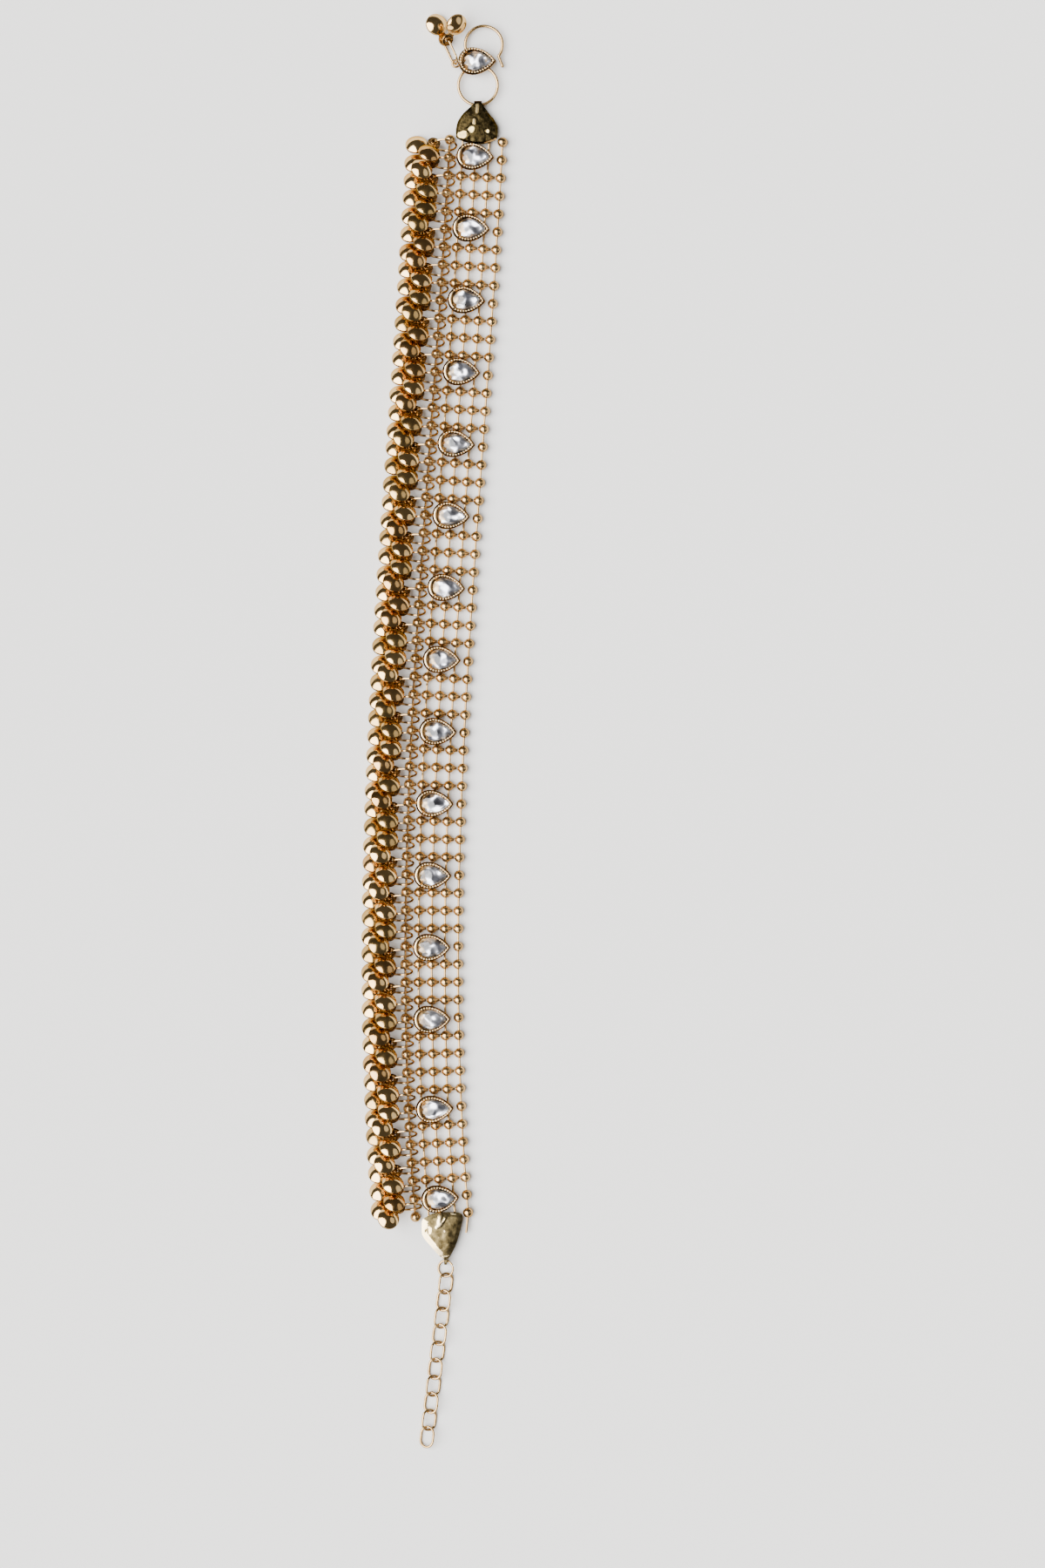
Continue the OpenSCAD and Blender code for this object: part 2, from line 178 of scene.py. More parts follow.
# Trim of the collets. A level is (height, length taken off, width taken off, shift), from the
# flange up over the groove to the bezel's inner edge, and a seat level is (height, how much
# longer and wider than the stone). The underside is narrower than the flange by the foot given,
# and shorter by that and FOOT_SHORTER. The walls from the level GROOVE_FROM up to GROOVE_TO,
# with the underside as level 0, are the groove, painted near black as painted shade.
COLLET_SIDES = 56
FOOT_SHORTER = 0.4
COLLET_LEVELS = (
    (FLANGE_Z - 0.1, 0.12, 0.12, 0),
    (FLANGE_Z, 0, 0, 0),
    (FLANGE_Z + 0.05, 0, 0, 0),
    (FLANGE_Z + 0.16, 0.2, 0.2, 0),
    (FLANGE_Z + 0.1, 0.28, 0.28, 0),
    (FLANGE_Z - 0.14, 0.34, 0.34, 0),
    (FLANGE_Z - 0.14, 0.56, 0.5, 0),
    (SETTING_H - 0.4, 0.62, 0.54, 0),
    (SETTING_H - 0.22, 0.66, 0.58, 0),
    (SETTING_H - 0.16, 0.85, 0.72, 0),
    (SETTING_H - 0.18, 1.2, 1.0, 0.03))
SEAT_LEVELS = ((SETTING_H - 0.5, 0.2), (SEAT_Z, 0.1))
GROOVE_FROM = 5
GROOVE_TO = 10

# The line of beads is (height, length, width). At a round end without beads they stop at
# BEADS_FROM, and the smooth strip reaches a little further, to STRIP_TO.
BEAD_LINE = (SETTING_H - 0.12, SETTING_L - 1.08, SETTING_W - 0.88)
BEAD_LINE_STEPS = 200
BEAD_COUNT = 31
BEAD_R = 0.2
BEAD_SIDES = 10
BEAD_LEVELS = 7
BEADS_FROM = -2.7
STRIP_TO = -2.2
STRIP_END_R = [0.1, 0.16]
TAB_FROM = -SETTING_L / 2 - 0.1
TAB_TO = -SETTING_L / 2 + 0.5
TAB_R = (0.3, 0.36)
TAB_SIDES = 4

# Facets of the stones. A level is (height, share of the stone's size, shift, phase), from the
# foiled back up to the rim of the domed table. Facets left of the two limits below carry a
# painted reflection of the collet's metal.
FACET_SHARP = 9
CROWN_SHIFT = STONE_SHIFT + 0.18
STONE_LEVELS = (
    (SEAT_Z + CLEAR, 0.6, STONE_SHIFT, 0.5),
    (GIRDLE_Z - 0.12, 1.0, STONE_SHIFT, 0.5),
    (GIRDLE_Z, 1.0, STONE_SHIFT, 0.5),
    (GIRDLE_Z + 0.36, 0.86, CROWN_SHIFT, 0.0),
    (GIRDLE_Z + 0.6, 0.64, CROWN_SHIFT, 0.5),
    (GIRDLE_Z + 0.7, 0.34, CROWN_SHIFT, 0.5))
TABLE_TOP = (CROWN_SHIFT - 0.1, 0, GIRDLE_Z + 0.72)
REFLECTION_EDGE_LIMIT = -0.8
REFLECTION_CROWN_LIMIT = -1.3

# Trim of the bells: how far the dome and its hollow reach as shares of BELL_R, how pointed the
# dome is, its lip, and its neck as (distance from the eye, half width, half thickness)
BELL_SHARP = 50
BELL_SIDES = 36
DOME_STEPS = 12
DOME_STEP_POWER = 0.85
HOLLOW_STEPS = 4
DOME_RIM = 0.985
HOLLOW_RIM = 0.92
POINTED = 0.55
POINT_POWER = 1.6
LIP_H = 0.14
LIP_BEVEL = 0.03
EYE_SIDES = 24
EYE_BEVEL = 0.05
HOLE_BEVEL = 0.06
NECK = (
    (0.95, 0.55 * NECK_W, BELL_WALL - 0.01),
    (1.3, 0.46 * NECK_W, 0.8 * (BELL_SLIT + BELL_WALL)),
    (1.9, 0.5 * NECK_W, BELL_SLIT + BELL_WALL))

# Layers of the fringe: name, poses, unrest, and the share of its bells that are browner or
# redder. BELL_TONES are those two looks among the materials of a fringe.
FRINGE = (("lower", LOWER_POSES, 1.0, 0.35), ("upper", UPPER_POSES, 1.2, 0.6))
BELL_TONES = (2, 3)

# Wire rings: how finely they are drawn, where a jump ring's joint may lie, and how far its
# wire turns
WIRE_SIDES = 10
JUMP_RING_STEPS = 40
JUMP_RING_SIDES = 8
JUMP_RING_TURN = 356
JOINT_FROM = 15
JOINT_TO = 75
CHAIN_RING_STEPS = 36
CHAIN_RING_TURN = 355
CHAIN_RING_JOINT = 25
OVAL_BEND_STEPS = 14

# Trim of the hook: the bent end as (share of the way from the open ring to the tip, radius),
# and the ball of solder beside the side loop
HOOK_SIDES = 12
CLOSED_RING_STEPS = 72
OPEN_RING_STEPS = 54
BENT_END = ((1.0, 0.18), (0.93, 0.3), (0.75, 0.3), (0.5, 0.27), (0.25, 0.27))
SIDE_LOOP_STEPS = 24
SOLDER_BALL_R = 0.36
SOLDER_BALL_SHIFT = (0.9, 0.0, -0.05)
SOLDER_BALL_LEVELS = 8

# Trim of the end plates. A flat is an oval that slopes along x and y, a ridge runs from x0, y0
# to x1, y1, and both are counted from the plate's loop. LID_LEVELS are shares of the way from
# a lid's edge to its middle.
Flat = namedtuple("Flat", "x y half_w half_l slope_x slope_y")
Ridge = namedtuple("Ridge", "x0 y0 x1 y1 width height look")
PLATE_SHARP = 30
OUTLINE_POINTS = 132
CORNER_CUTS = 2
CORNER_CUT = 0.14
LID_LEVELS = [0, 0.015, 0.04, 0.08] + [0.12 + 0.035 * k for k in range(25)]
LID_TOP = LID_Z + LID_H + 0.02
FOLD_H = 0.68
NECK_POWER = 1.2
SHEET = 0.3
UNDERSIDE_SHARE = 0.96
DENT_COUNT = 34
DENT_REACH = 4
DENT_SIZE = (0.35, 0.9)
DENT_DEPTH = (-0.07, 0.05)
FLAT_H = 0.7
FLAT_EDGE = 0.35
LOOP_SIDES = 24

# How soon dents, flats and ridges grow in from the sheet's edge, and from what share of its
# full height on a flat or a ridge has a look of its own, a painted highlight
DENT_GROWTH = 4
FLAT_GROWTH = 12
RIDGE_GROWTH = 6
FLAT_LOOK_FROM = 0.3
RIDGE_LOOK_FROM = 0.55

# Looks of the metals. A detail is a noise's (detail, roughness), and a fade is the two values
# between which one tone or polish gives way to the other.
PATCH_DETAIL = (4.0, 0.6)
PATCH_FADE = (0.35, 0.68)
SMEAR_DETAIL = (5.0, 0.65)
SMEAR_FADE = (0.3, 0.7)
SMEARS_FINER = 2.3
LEAST_ROUGH = 0.75
MOST_ROUGH = 1.35
EDGE_FADE = (0.52, 0.58)
EDGE_BRIGHTER = 1.3
GRAIN_STRENGTH = 0.35
DENT_STRENGTH = 0.5

# Look of the stones' foil, described in the same way
FOIL_SCALE = 640.0
FOIL_DETAIL = (1.0, 0.4)
FOIL_FADE = (0.38, 0.62)
FOIL_ROUGH = (0.28, 0.4)
FOIL_TILT = 1.9

# Floor, world, lights and camera. A light is (name, kind, place in metres, a sun's angle in
# degrees or a disk's diameter in metres, power).
FLOOR_SIZE = 40.0
FLOOR_Z = -0.00005
FLOOR_PATCH = 9.0
FLOOR_TONES = ((0.82, 0.81, 0.79), (0.79, 0.78, 0.76))
WORLD_COLOUR = (0.60, 0.58, 0.56)
WORLD_STRENGTH = 0.16
LIGHTS = (
    ("key", "SUN", (-0.85, -0.1, 1.17), 64.0, 10.6),
    ("fill", "AREA", (1.1, 0.1, 0.8), 1.0, 2.5),
    ("low", "AREA", (-0.3, -1.1, 0.6), 0.8, 6.0))
CAMERA_LENS = 100.0
CAMERA_SENSOR = 36.0
CAMERA_NEAR = 0.05
CAMERA_FAR = 20.0

# The picture is 324 mm high at the height of the band, 1.5 mm over the surface, and its middle
# lies right of and below the part's.
PICTURE_H = 324.0
PICTURE_MIDDLE = (18.22, -10.9, 1.5)


# Places
def turn(x=0.0, y=0.0, z=0.0):
    """Rotation about X, then Y, then Z."""
    return Euler([math.radians(a) for a in (x, y, z)], "XYZ").to_matrix().to_4x4()


def move(x, y, z=0.0):
    return Matrix.Translation((x, y, z))


def band_spot(row):
    """Middle of the band at a row."""
    s = row / LAST_ROW
    x = FIRST_ROW_SPOT[0] + WANDER[0] * s + WANDER[1] * s * s + WANDER[2] * s ** 3
    return x, FIRST_ROW_SPOT[1] - row * ROW_PITCH


def band_turn(row):
    """How far the band is turned clockwise at a row."""
    s = row / LAST_ROW
    slope = WANDER[0] + 2 * WANDER[1] * s + 3 * WANDER[2] * s * s
    return math.degrees(math.atan(-slope / (LAST_ROW * ROW_PITCH)))


def strand_spot(strand, row):
    x, y = band_spot(row)
    side = (strand - MIDDLE_STRAND) * STRAND_PITCH
    a = math.radians(-band_turn(row))
    return x + side * math.cos(a), y + side * math.sin(a)


def on_wire(strand, row):
    """A point on a strand's wire."""
    return np.array((*strand_spot(strand, row), BALL_R))


def has_ball(strand, row):
    """The outer strands have a ball in every row, the inner ones none at stones and at the ends."""
    return strand in (1, STRANDS) or not (row in STONE_ROWS or row in (0, LAST_ROW))


def at_gap(k):
    """Frame of the left strand half way between two rows."""
    return move(*strand_spot(1, k + 0.5)) @ turn(z=-band_turn(k + 0.5))


def on_ring(place):
    """A place on a jump ring's wire, in degrees up from its left end."""
    x, y, z = RING_MIDDLE
    across = RING_R * math.cos(math.radians(place))
    up = RING_R * math.sin(math.radians(place))
    return x - across, y + up * LEAN_SIN, z + up * LEAN_COS


def wobble(k, unrest, kind):
    """A small turn that differs from ring to ring."""
    size, step = kind
    return size * unrest * math.sin(math.radians(step * k))


# Mesh building
class Shape:
    """Placed parts. A part is (points, faces) or (points, faces, looks), and a look is the number
    of a face's material among those of its piece."""

    def __init__(self):
        self.points = []
        self.faces = []
        self.looks = []
        self.count = 0

    def add(self, part, place=Matrix(), look=0):
        points, faces = np.asarray(part[0], float), part[1]
        m = np.array(place)
        self.points.append(points @ m[:3, :3].T + m[:3, 3])
        self.faces += [[i + self.count for i in face] for face in faces]
        self.looks += list(part[2]) if len(part) > 2 else [look] * len(faces)
        self.count += len(points)
        return self

    def part(self):
        return np.concatenate(self.points), self.faces, self.looks


def walls(rings, sides, closed=False):
    """Faces between each ring of a stack and the next."""
    faces = []
    for a in range(rings if closed else rings - 1):
        b = (a + 1) % rings
        for k in range(sides):
            n = (k + 1) % sides
            faces.append((a * sides + k, a * sides + n, b * sides + n, b * sides + k))
    return faces


def caps(rings, sides):
    """The first and the last ring of a stack as faces."""
    return [tuple(range(sides - 1, -1, -1)), tuple((rings - 1) * sides + k for k in range(sides))]


def loft(rings):
    """Skin through rings of points with equal counts, each anticlockwise seen from above."""
    points = [p for ring in rings for p in ring]
    count, sides = len(rings), len(rings[0])
    return points, walls(count, sides) + caps(count, sides)


def lathe(profile, sides, closed=False):
    """Section of (radius, z) turned about Z. It runs from the top down on the outside."""
    angles = [FULL_TURN * k / sides for k in range(sides)]
    points = []
    rings = []
    for r, z in profile:
        if r == 0:
            rings.append([len(points)])
            points.append((0, 0, z))
        else:
            rings.append(range(len(points), len(points) + sides))
            points += [(r * math.cos(a), r * math.sin(a), z) for a in angles]
    faces = []
    for a, b in zip(rings, rings[1:] + (rings[:1] if closed else [])):
        for k in range(sides):
            n = (k + 1) % sides
            if len(a) == 1:
                faces.append((a[0], b[k], b[n]))
            elif len(b) == 1:
                faces.append((a[k], b[0], a[n]))
            else:
                faces.append((a[k], b[k], b[n], a[n]))
    return points, faces


def tube(path, radius, sides=8, closed=False):
    """Round wire along a path in one plane. radius is a number or one for each point."""
    path = np.asarray(path, float)
    count = len(path)
    ahead = np.roll(path, -1, axis=0) - np.roll(path, 1, axis=0)
    if not closed:
        ahead[0] = path[1] - path[0]
        ahead[-1] = path[-1] - path[-2]
    ahead /= np.linalg.norm(ahead, axis=1)[:, None]
    plane_normal = np.linalg.svd(path - path.mean(axis=0))[2][2]
    points = []
    for spot, way, r in zip(path, ahead, np.broadcast_to(radius, count)):
        side = np.cross(plane_normal, way)
        side /= np.linalg.norm(side)
        up = np.cross(way, side)
        for k in range(sides):
            a = FULL_TURN * k / sides
            points.append(spot + r * (math.cos(a) * side + math.sin(a) * up))
    return points, walls(count, sides, closed) + ([] if closed else caps(count, sides))


def arc(middle, radius, start, sweep, steps):
    """Points on a level arc, from start through sweep degrees."""
    x, y, z = middle
    angles = [math.radians(start + sweep * k / steps) for k in range(steps + 1)]
    return [(x + radius * math.cos(a), y + radius * math.sin(a), z) for a in angles]


def wire_ring(middle, radius, wire_r, steps, sides):
    """Closed level ring of round wire."""
    return tube(arc(middle, radius, 0, 360, steps)[:-1], wire_r, sides, closed=True)


def open_ring(radius, start, sweep, steps, sides):
    """Jump ring about the origin, with the gap of its joint."""
    return tube(arc((0, 0, 0), radius, start, sweep, steps), RING_WIRE_R, sides)


def oval_ring(length, width, wire_d):
    """Closed wire ring with two straight sides along Y."""
    bend_r = (width - wire_d) / 2
    straight = (length - width) / 2
    upper = arc((0, straight, 0), bend_r, 0, 180, OVAL_BEND_STEPS)
    lower = arc((0, -straight, 0), bend_r, 180, 180, OVAL_BEND_STEPS)
    return tube(upper + lower, wire_d / 2, WIRE_SIDES, closed=True)


def half_circle(radius, levels):
    """Section of a ball from the top down, without its two poles."""
    angles = [math.pi * k / levels for k in range(1, levels)]
    return [(radius * math.sin(a), radius * math.cos(a)) for a in angles]


def ball(radius, sides, levels):
    return lathe([(0, radius)] + half_circle(radius, levels) + [(0, -radius)], sides)


def piece(name, shape, materials, cad_node, sharp=40):
    """Makes a shape into a piece that stands for a CAD node."""
    points, faces, looks = shape.part()
    mesh = bpy.data.meshes.new(name)
    mesh.from_pydata((points * MM).tolist(), [], faces)
    mesh.polygons.foreach_set("use_smooth", [True] * len(mesh.polygons))
    mesh.set_sharp_from_angle(angle=math.radians(sharp))
    for material in materials:
        mesh.materials.append(material)
    mesh.polygons.foreach_set("material_index", looks)
    mesh.update()
    made = bpy.data.objects.new(name, mesh)
    bpy.context.scene.collection.objects.link(made)
    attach(made, "root")
    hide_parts(cad_node)


# Material nodes. The mix node's sockets are numbered, because several share a name.
MIX_FACTOR = 0
MIX_FIRST = 6
MIX_SECOND = 7
MIX_RESULT = 2


def feed(tree, socket, value):
    """Gives a socket another node's output or a plain value, three numbers for a colour."""
    if isinstance(value, bpy.types.NodeSocket):
        tree.links.new(value, socket)
    elif socket.type == "RGBA":
        socket.default_value = (*value, 1)
    else:
        socket.default_value = value


def feed_all(tree, owner, values):
    for name, value in values.items():
        feed(tree, owner.inputs[name], value)


def node(tree, kind, inputs=None, **settings):
    made = tree.nodes.new(kind)
    for name, value in settings.items():
        setattr(made, name, value)
    feed_all(tree, made, inputs or {})
    return made


def base_material(name):
    """A new material, with its tree, its shader and the object's own coordinates."""
    material = bpy.data.materials.new(name)
    material.use_nodes = True
    tree = material.node_tree
    shader = tree.nodes["Principled BSDF"]
    spots = node(tree, "ShaderNodeTexCoord").outputs["Object"]
    return material, tree, shader, spots


def noise(tree, spots, scale, detail=2.0, roughness=0.5):
    inputs = {"Vector": spots, "Scale": scale, "Detail": detail, "Roughness": roughness}
    return node(tree, "ShaderNodeTexNoise", inputs).outputs["Fac"]


def spread(tree, value, low, high, to_low, to_high):
    """Stretches a value's range from low and high to two new ends."""
    inputs = {"Value": value, "From Min": low, "From Max": high, "To Min": to_low, "To Max": to_high}
    return node(tree, "ShaderNodeMapRange", inputs).outputs["Result"]


def blend_colours(tree, factor, first, second):
    mix = node(tree, "ShaderNodeMix", data_type="RGBA")
    feed(tree, mix.inputs[MIX_FACTOR], factor)
    feed(tree, mix.inputs[MIX_FIRST], first)
    feed(tree, mix.inputs[MIX_SECOND], second)
    return mix.outputs[MIX_RESULT]


def vector_math(tree, operation, *values):
    made = node(tree, "ShaderNodeVectorMath", operation=operation)
    for socket, value in zip(made.inputs, values):
        feed(tree, socket, value)
    return made


def bump(tree, strength, distance, height):
    inputs = {"Strength": strength, "Distance": distance, "Height": height}
    return node(tree, "ShaderNodeBump", inputs)


def metal(name, bright, dark, edge, rough, patch, grain, depth, dents=None, wear=0.0):
    """Metal with a patchy tone and polish and a fine grain, and, where they are given, soft dents
    and brighter worn edges.

    edge tints its glancing reflections. patch and grain are noise scales to a metre, depth is the
    grain's in metres, and dents is (depth, noise scale)."""
    material, tree, shader, spots = base_material(name)
    patches = noise(tree, spots, patch, *PATCH_DETAIL)
    colour = blend_colours(tree, spread(tree, patches, *PATCH_FADE, 0.0, 1.0), bright, dark)
    if wear:
        edges = node(tree, "ShaderNodeNewGeometry").outputs["Pointiness"]
        worn = spread(tree, edges, *EDGE_FADE, 0.0, wear)
        colour = blend_colours(tree, worn, colour, [min(1, EDGE_BRIGHTER * v) for v in bright])
    smears = noise(tree, spots, SMEARS_FINER * patch, *SMEAR_DETAIL)
    polish = spread(tree, smears, *SMEAR_FADE, LEAST_ROUGH * rough, MOST_ROUGH * rough)
    fine = bump(tree, GRAIN_STRENGTH, depth, noise(tree, spots, grain))
    if dents:
        dent_depth, dent_scale = dents
        soft = bump(tree, DENT_STRENGTH, dent_depth, noise(tree, spots, dent_scale))
        feed(tree, fine.inputs["Normal"], soft.outputs["Normal"])
    feed_all(tree, shader, {
        "Metallic": 1.0,
        "Specular Tint": edge,
        "Base Color": colour,
        "Roughness": polish,
        "Normal": fine.outputs["Normal"]})
    return material


def crumpled(tree, spots):
    """The surface's normal, tilted this way and that as on crumpled foil."""
    creases = node(tree, "ShaderNodeTexNoise", {"Vector": spots, "Scale": FOIL_SCALE, "Detail": 0.0})
    centred = vector_math(tree, "SUBTRACT", creases.outputs["Color"], (0.5, 0.5, 0.5))
    tilt = vector_math(tree, "SCALE", centred.outputs[0])
    feed(tree, tilt.inputs["Scale"], FOIL_TILT)
    facing = node(tree, "ShaderNodeNewGeometry").outputs["Normal"]
    leaning = vector_math(tree, "ADD", tilt.outputs[0], facing)
    return vector_math(tree, "NORMALIZE", leaning.outputs[0]).outputs[0]


def stone_material(name, bright, dark):
    """Clear glass over silver foil: crumpled foil seen under a smooth clear coat."""
    material, tree, shader, spots = base_material(name)
    cloud = spread(tree, noise(tree, spots, FOIL_SCALE, *FOIL_DETAIL), *FOIL_FADE, 0.0, 1.0)
    feed_all(tree, shader, {
        "Base Color": blend_colours(tree, cloud, bright, dark),
        "Metallic": 0.95,
        "Roughness": spread(tree, cloud, 0.0, 1.0, *FOIL_ROUGH),
        "Normal": crumpled(tree, spots),
        "Coat Weight": 1.0,
        "Coat Roughness": 0.02,
        "Coat IOR": 1.6})
    return material


def floor_material():
    material, tree, shader, spots = base_material("pale_floor")
    tone = noise(tree, spots, FLOOR_PATCH, detail=3.0)
    feed_all(tree, shader, {
        "Base Color": blend_colours(tree, tone, *FLOOR_TONES),
        "Roughness": 0.75})
    return material


# Metals of the balls, of the link wires and the bells' eyes, and of the hook's wire, the rings
# and the chain
ball_gold = metal(
    "ball_gold", bright=(0.70, 0.46, 0.21), dark=(0.46, 0.28, 0.11), edge=(0.4, 0.25, 0.14),
    rough=0.22, patch=260.0, grain=3500.0, depth=0.00002)
wire_gold = metal(
    "wire_gold", bright=(0.42, 0.26, 0.105), dark=(0.26, 0.15, 0.055), edge=(0.2, 0.12, 0.06),
    rough=0.16, patch=300.0, grain=2500.0, depth=0.00001)
link_gold = metal(
    "link_gold", bright=(0.60, 0.40, 0.18), dark=(0.40, 0.245, 0.10), edge=(0.22, 0.14, 0.07),
    rough=0.18, patch=300.0, grain=2500.0, depth=0.00001)

# Metals of the bells: the usual one, a browner and a redder one
bell_gold = metal(
    "bell_gold", bright=(0.80, 0.54, 0.235), dark=(0.62, 0.385, 0.15), edge=(0.6, 0.42, 0.22),
    rough=0.11, patch=210.0, grain=1500.0, depth=0.00001, dents=(0.00009, 520.0))
bell_brass = metal(
    "bell_brass", bright=(0.58, 0.38, 0.15), dark=(0.42, 0.26, 0.09), edge=(0.5, 0.35, 0.18),
    rough=0.16, patch=260.0, grain=1500.0, depth=0.00001, dents=(0.0001, 600.0))
bell_copper = metal(
    "bell_copper", bright=(0.60, 0.355, 0.14), dark=(0.42, 0.235, 0.08), edge=(0.5, 0.33, 0.17),
    rough=0.14, patch=260.0, grain=1500.0, depth=0.00001, dents=(0.00012, 640.0))

# Metals of the collets: the wall, the beads painted brighter than the wall as a painted highlight, and
# the groove under them painted dark as painted shade
collet_gold = metal(
    "collet_gold", bright=(0.42, 0.24, 0.095), dark=(0.22, 0.12, 0.045), edge=(0.35, 0.22, 0.1),
    rough=0.17, patch=380.0, grain=3000.0, depth=0.00002, wear=0.3)
# The beads, the smooth strip, the tab and the hook's ball of solder are painted much brighter than the
# collet's wall: a painted highlight
bead_painted_highlight = metal(
    "bead_painted_highlight", bright=(0.98, 0.78, 0.48), dark=(0.90, 0.66, 0.36), edge=(0.4, 0.28, 0.16),
    rough=0.26, patch=500.0, grain=3000.0, depth=0.00001)
# Near-black brown of the groove's walls: painted shade in the recess under the beads
groove_painted_shade = metal(
    "groove_painted_shade", bright=(0.06, 0.035, 0.014), dark=(0.03, 0.016, 0.006), edge=(0.1, 0.06, 0.03),
    rough=0.45, patch=500.0, grain=2500.0, depth=0.00003)

# Brasses of the end plates: the lower body, the upper body painted nearly black as a painted dark
# reflection, then the painted highlights: flats, tan ridges and the side that faces the light
plate_brass = metal(
    "plate_brass", bright=(0.18, 0.135, 0.06), dark=(0.05, 0.036, 0.014), edge=(0.4, 0.3, 0.15),
    rough=0.34, patch=820.0, grain=2400.0, depth=0.00008, dents=(0.0001, 420.0), wear=0.4)
# Nearly black brass of the upper plate: a painted dark reflection, with a mottled tone
dark_brass = metal(
    "dark_brass", bright=(0.062, 0.044, 0.017), dark=(0.008, 0.006, 0.002), edge=(0.4, 0.3, 0.15),
    rough=0.27, patch=1000.0, grain=2400.0, depth=0.00008, dents=(0.0001, 420.0), wear=0.4)
# Pale brass painted on the plates' flats: a painted highlight
flat_highlight_brass = metal(
    "flat_highlight_brass", bright=(0.66, 0.50, 0.20), dark=(0.50, 0.37, 0.14), edge=(0.8, 0.6, 0.3),
    rough=0.3, patch=600.0, grain=2600.0, depth=0.00004)
# Tan brass painted on the upper plate's ridges: a painted highlight
ridge_highlight_brass = metal(
    "ridge_highlight_brass", bright=(0.42, 0.31, 0.14), dark=(0.20, 0.14, 0.06), edge=(0.5, 0.4, 0.2),
    rough=0.36, patch=560.0, grain=2600.0, depth=0.00006)
# Pale brass painted on the faces that lean towards the light, and on some ridges: a painted highlight
side_highlight_brass = metal(
    "side_highlight_brass", bright=(0.88, 0.70, 0.40), dark=(0.72, 0.55, 0.29), edge=(0.9, 0.8, 0.6),
    rough=0.3, patch=330.0, grain=2600.0, depth=0.00004)

# Stones, and their facets painted with a reflection of the collet's metal
foiled_stone = stone_material("foiled_stone", bright=(0.70, 0.70, 0.75), dark=(0.18, 0.18, 0.205))
# Colour of the collet's metal, painted on the stones' left facets as a painted reflection
painted_reflection_facets = stone_material("painted_reflection_facets", bright=(0.46, 0.33, 0.18), dark=(0.26, 0.17, 0.08))


# Band
def chain_ball():
    """A ball with a dimple where the wire goes in."""
    top = [(r, height * BALL_R) for height, r in DIMPLE]
    bottom = [(r, -z) for r, z in top[::-1]]
    return lathe(top + half_circle(BALL_R, BALL_LEVELS) + bottom, BALL_SIDES)


def link_wire(start, end):
    return tube([start, end], LINK_WIRE_R)


def solder(steps, wire_end=()):
    """Solder that thins away from a ball, with the end of the cross link in it."""
    steps = [(share * BALL_R, r) for share, r in steps] + list(wire_end)
    return tube([(x, 0, 0) for x, _ in steps], [r for _, r in steps], SOLDER_SIDES)


def add_balls(shape, spots):
    one_ball = chain_ball()
    for row, spot in spots.items():
        yaw = -band_turn(row) + random.uniform(-BALL_SCATTER, BALL_SCATTER)
        roll = -90 + random.uniform(-BALL_SCATTER, BALL_SCATTER)
        shape.add(one_ball, move(*spot) @ turn(z=yaw) @ turn(x=roll))


def add_link_wires(shape, spots):
    for upper, lower in zip(spots, spots[1:]):
        way = (lower - upper) / np.linalg.norm(lower - upper)
        inward = WIRE_START * BALL_R * way
        shape.add(link_wire(upper + inward, lower - inward), look=1)


def add_cross_links(shape, strand, spots):
    """Links to the ball or the setting on the right, and solder towards the ball on the left."""
    for row, spot in spots.items():
        place = move(*spot) @ turn(z=-band_turn(row))
        by_stone = row in STONE_ROWS
        if strand < STRANDS and (by_stone or has_ball(strand + 1, row)):
            reach = 2 * STRAND_PITCH - SETTING_L / 2 if by_stone else STRAND_PITCH - BALL_R
            shape.add(solder(RIGHT_SOLDER, [(reach - CLEAR, CROSS_LINK_R)]), place)
        if strand > 1 and not by_stone and has_ball(strand - 1, row):
            shape.add(solder(LEFT_SOLDER), place)


def add_wire_ends(shape, strand, spots):
    """The inner strands' wires reach into the end plates, the last strand's ends bare."""
    if strand not in (1, STRANDS):
        first, *_, last = spots.values()
        shape.add(link_wire(first, on_wire(strand, -WIRE_IN_PLATE)), look=1)
        shape.add(link_wire(last, on_wire(strand, LAST_ROW + WIRE_IN_PLATE)), look=1)
    if strand == STRANDS:
        shape.add(link_wire(spots[LAST_ROW], spots[LAST_ROW] + TAIL), look=1)


def make_strand(strand):
    spots = {row: on_wire(strand, row) for row in range(ROWS) if has_ball(strand, row)}
    shape = Shape()
    add_balls(shape, spots)
    add_link_wires(shape, list(spots.values()))
    add_cross_links(shape, strand, spots)
    add_wire_ends(shape, strand, spots)
    piece(f"band_strand_{strand}", shape, (ball_gold, wire_gold), f"ball_strand_{strand}")


# Settings and stones
def pear(sides, z, length, width, shift=0.0, phase=0.5):
    """Pear outline with its tip to the right, drawn at even steps of angle. phase is where the
    first point lies, in steps."""
    ring = []
    for k in range(sides):
        a = FULL_TURN * (k + phase) / sides
        x = math.cos(a) / 2
        y = math.sin(a) * abs(math.sin(a / 2)) ** PEAR_TAPER / (2 * PEAR_WIDEST)
        ring.append((x * length + shift, y * width, z))
    return ring


def evenly(ring, count):
    """Points at equal steps along a closed ring."""
    ring = np.array(list(ring) + [ring[0]])
    along = np.concatenate([[0], np.cumsum(np.linalg.norm(np.diff(ring, axis=0), axis=1))])
    wanted = along[-1] * np.arange(count) / count
    return np.stack([np.interp(wanted, along, ring[:, axis]) for axis in range(3)], axis=1).tolist()


def collet_rings(foot):
    """Outlines up a collet's tapered foot, flange, groove and bezel, and down into its seat."""
    underside = (0, foot + FOOT_SHORTER, foot, 0)
    rings = [pear(COLLET_SIDES, z, SETTING_L - less_l, SETTING_W - less_w, shift)
             for z, less_l, less_w, shift in (underside, *COLLET_LEVELS)]
    for z, gap in SEAT_LEVELS:
        rings.append(pear(COLLET_SIDES, z, STONE_L + gap, STONE_W + gap, STONE_SHIFT))
    return rings


